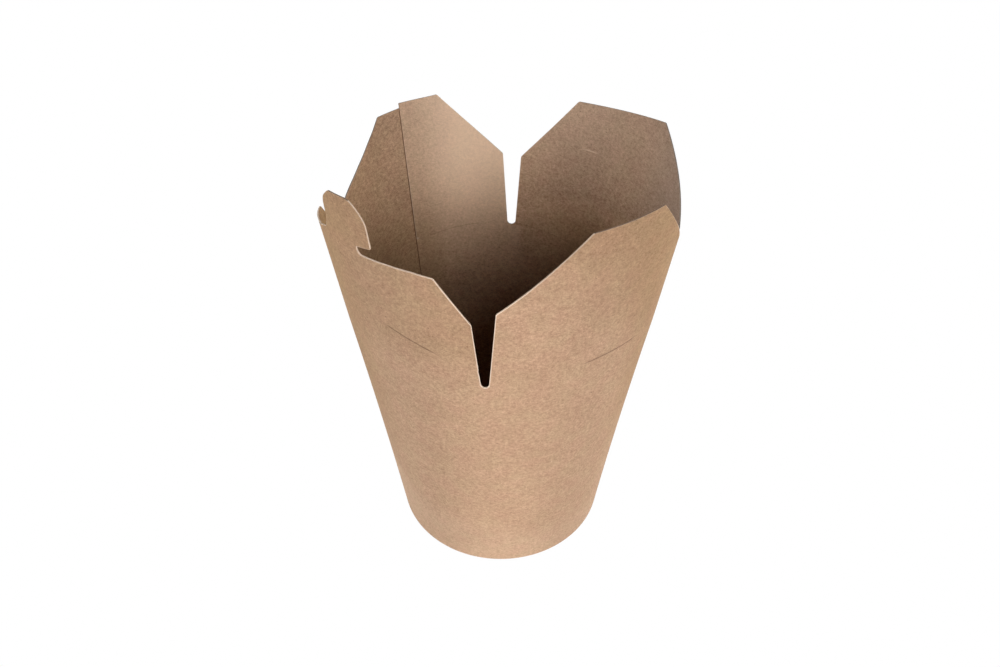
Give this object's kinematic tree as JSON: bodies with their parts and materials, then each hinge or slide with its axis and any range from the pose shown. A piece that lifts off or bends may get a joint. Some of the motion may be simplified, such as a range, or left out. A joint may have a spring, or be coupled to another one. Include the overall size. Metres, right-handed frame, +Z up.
{
  "type": "noodle takeaway box",
  "caption": "Open, empty noodle takeaway box of plain kraft paperboard, round at the base, with top flaps that fold in at a crease and a locking tongue on one of them.",
  "frame": {"origin": "middle of the foot ring, on the surface the box stands on", "axes": "+Z up out of the mouth; -Y is the front, with one slit close to it, the tongue flap on its left and the front flap on its right; +X to the right"},
  "size_m": [0.1224, 0.1118, 0.1639],
  "materials": {
    "kraft_board": "matte, uncoated"
  },
  "bodies": {
    "box": {"wall": "kraft_board", "base": "kraft_board"},
    "tongue_flap": {"tongue_flap": "kraft_board"},
    "front_flap": {"front_flap": "kraft_board"},
    "back_flap": {"back_flap": "kraft_board"},
    "seam_flap": {"seam_flap": "kraft_board"}
  },
  "joints": [
    {"name": "tongue_flap_hinge", "type": "hinge", "parent": "box", "child": "tongue_flap", "pos_m": [-0.03069, -0.02186, 0.106], "axis": [-0.6339, 0.7734, 0], "range_deg": [0, 55]},
    {"name": "front_flap_hinge", "type": "hinge", "parent": "box", "child": "front_flap", "pos_m": [0.02579, -0.03146, 0.106], "axis": [-0.8145, -0.5802, 0], "range_deg": [0, 85]},
    {"name": "back_flap_hinge", "type": "hinge", "parent": "box", "child": "back_flap", "pos_m": [0.03069, 0.02186, 0.106], "axis": [0.6339, -0.7734, 0], "range_deg": [0, 60]},
    {"name": "seam_flap_hinge", "type": "hinge", "parent": "box", "child": "seam_flap", "pos_m": [-0.02579, 0.03146, 0.106], "axis": [0.8145, 0.5802, 0], "range_deg": [0, 95]}
  ]
}
